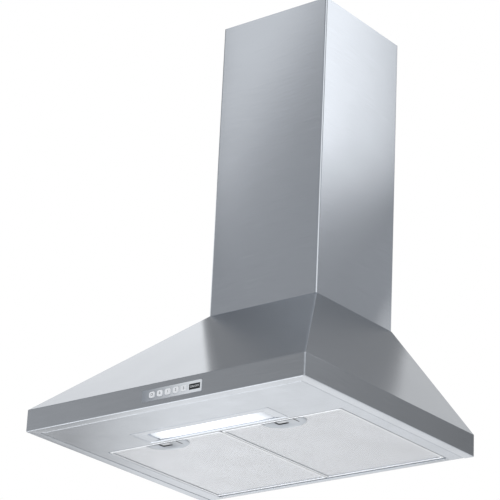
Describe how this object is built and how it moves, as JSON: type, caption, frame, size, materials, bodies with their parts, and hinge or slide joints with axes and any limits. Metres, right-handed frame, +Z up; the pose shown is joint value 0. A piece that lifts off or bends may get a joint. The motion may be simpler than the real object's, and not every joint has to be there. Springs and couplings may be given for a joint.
{
  "type": "chimney range hood",
  "caption": "Wall-mounted pyramid range hood with a telescoping chimney, drop-down grease filters, lamp, push buttons and a blower.",
  "frame": {"origin": "on the wall plane, midway between the two hanging slots of the back plate, 200 mm above the bottom edge", "axes": "+X to the right seen from the front, +Y into the wall, +Z up along the chimney"},
  "size_m": [0.598, 0.502, 0.85],
  "materials": {
    "stainless_steel": "brushed",
    "galvanised_steel": "zinc coated, dull",
    "filter_aluminium": "satin",
    "cast_aluminium": "as cast",
    "white_plastic": "satin",
    "grey_plastic": "matt",
    "black_plastic": "matt",
    "frosted_lens": "frosted",
    "bulb_glass": "clear",
    "brass": "plain",
    "circuit_board": "matt"
  },
  "bodies": {
    "hood": {"canopy_shell": "stainless_steel", "rear_panel": "galvanised_steel", "underside_panel": "stainless_steel", "filter_rail": "galvanised_steel", "lamp_holder_left": "white_plastic", "bulb_cap_left": "brass", "bulb_glass_left": "bulb_glass", "lamp_holder_right": "white_plastic", "bulb_cap_right": "brass", "bulb_glass_right": "bulb_glass", "lamp_bezel": "stainless_steel", "lamp_housing": "galvanised_steel", "control_panel": "white_plastic", "switch_body": "black_plastic", "switch_board": "circuit_board", "scroll_wrap": "galvanised_steel", "inlet_plate": "galvanised_steel", "inlet_ring": "black_plastic", "motor_plate": "galvanised_steel", "motor_body": "cast_aluminium", "motor_end_cap": "cast_aluminium", "capacitor": "white_plastic", "top_plate": "galvanised_steel", "cable_gland": "black_plastic", "outlet_collar": "black_plastic", "lower_chimney": "stainless_steel", "junction_box": "grey_plastic", "junction_lid": "grey_plastic", "terminal_block": "white_plastic"},
    "upper_cover": {"upper_chimney": "stainless_steel", "wall_bracket": "galvanised_steel"},
    "wheel": {"impeller": "black_plastic", "motor_shaft": "stainless_steel"},
    "front_damper": {"damper_flap_front": "black_plastic"},
    "rear_damper": {"damper_flap_rear": "black_plastic"},
    "left_filter": {"filter_frame_left": "filter_aluminium", "filter_mesh_left": "filter_aluminium", "latch_plate_left": "filter_aluminium"},
    "right_filter": {"filter_frame_right": "filter_aluminium", "filter_mesh_right": "filter_aluminium", "latch_plate_right": "filter_aluminium"},
    "left_latch": {"latch_tongue_left": "grey_plastic"},
    "right_latch": {"latch_tongue_right": "grey_plastic"},
    "lens": {"lamp_lens": "frosted_lens"},
    "button_1": {"push_button_1": "white_plastic"},
    "button_2": {"push_button_2": "white_plastic"},
    "button_3": {"push_button_3": "white_plastic"},
    "button_4": {"push_button_4": "white_plastic"},
    "button_5": {"push_button_5": "white_plastic"}
  },
  "joints": [
    {"name": "upper_cover_slide", "type": "slide", "parent": "hood", "child": "upper_cover", "axis": [0, 0, 1], "range_m": [0, 0.4]},
    {"name": "impeller_spin", "type": "hinge", "parent": "hood", "child": "wheel", "pos_m": [0, -0.18684, -0.05], "axis": [1, 0, 0], "continuous": true},
    {"name": "front_damper_hinge", "type": "hinge", "parent": "hood", "child": "front_damper", "pos_m": [0, -0.1215, 0.0785], "axis": [-1, 0, 0], "range_deg": [0, 80]},
    {"name": "rear_damper_hinge", "type": "hinge", "parent": "hood", "child": "rear_damper", "pos_m": [0, -0.1135, 0.0785], "axis": [1, 0, 0], "range_deg": [0, 80]},
    {"name": "left_filter_hinge", "type": "hinge", "parent": "hood", "child": "left_filter", "pos_m": [-0.12625, -0.018, -0.1953], "axis": [1, 0, 0], "range_deg": [0, 55]},
    {"name": "right_filter_hinge", "type": "hinge", "parent": "hood", "child": "right_filter", "pos_m": [0.12625, -0.018, -0.1953], "axis": [1, 0, 0], "range_deg": [0, 55]},
    {"name": "left_latch_slide", "type": "slide", "parent": "left_filter", "child": "left_latch", "axis": [0, 1, 0], "range_m": [0, 0.007], "stiffness_N_per_m": 300, "springref_m": -0.005},
    {"name": "right_latch_slide", "type": "slide", "parent": "right_filter", "child": "right_latch", "axis": [0, 1, 0], "range_m": [0, 0.007], "stiffness_N_per_m": 300, "springref_m": -0.005},
    {"name": "lens_hinge", "type": "hinge", "parent": "hood", "child": "lens", "pos_m": [0, -0.3786, -0.1938], "axis": [-1, 0, 0], "range_deg": [0, 75]},
    {"name": "button_1_press", "type": "slide", "parent": "hood", "child": "button_1", "axis": [0, 1, 0], "range_m": [0, 0.0025], "stiffness_N_per_m": 500, "springref_m": -0.003},
    {"name": "button_2_press", "type": "slide", "parent": "hood", "child": "button_2", "axis": [0, 1, 0], "range_m": [0, 0.0025], "stiffness_N_per_m": 500, "springref_m": -0.003},
    {"name": "button_3_press", "type": "slide", "parent": "hood", "child": "button_3", "axis": [0, 1, 0], "range_m": [0, 0.0025], "stiffness_N_per_m": 500, "springref_m": -0.003},
    {"name": "button_4_press", "type": "slide", "parent": "hood", "child": "button_4", "axis": [0, 1, 0], "range_m": [0, 0.0025], "stiffness_N_per_m": 500, "springref_m": -0.003},
    {"name": "button_5_press", "type": "slide", "parent": "hood", "child": "button_5", "axis": [0, 1, 0], "range_m": [0, 0.0025], "stiffness_N_per_m": 500, "springref_m": -0.003}
  ]
}
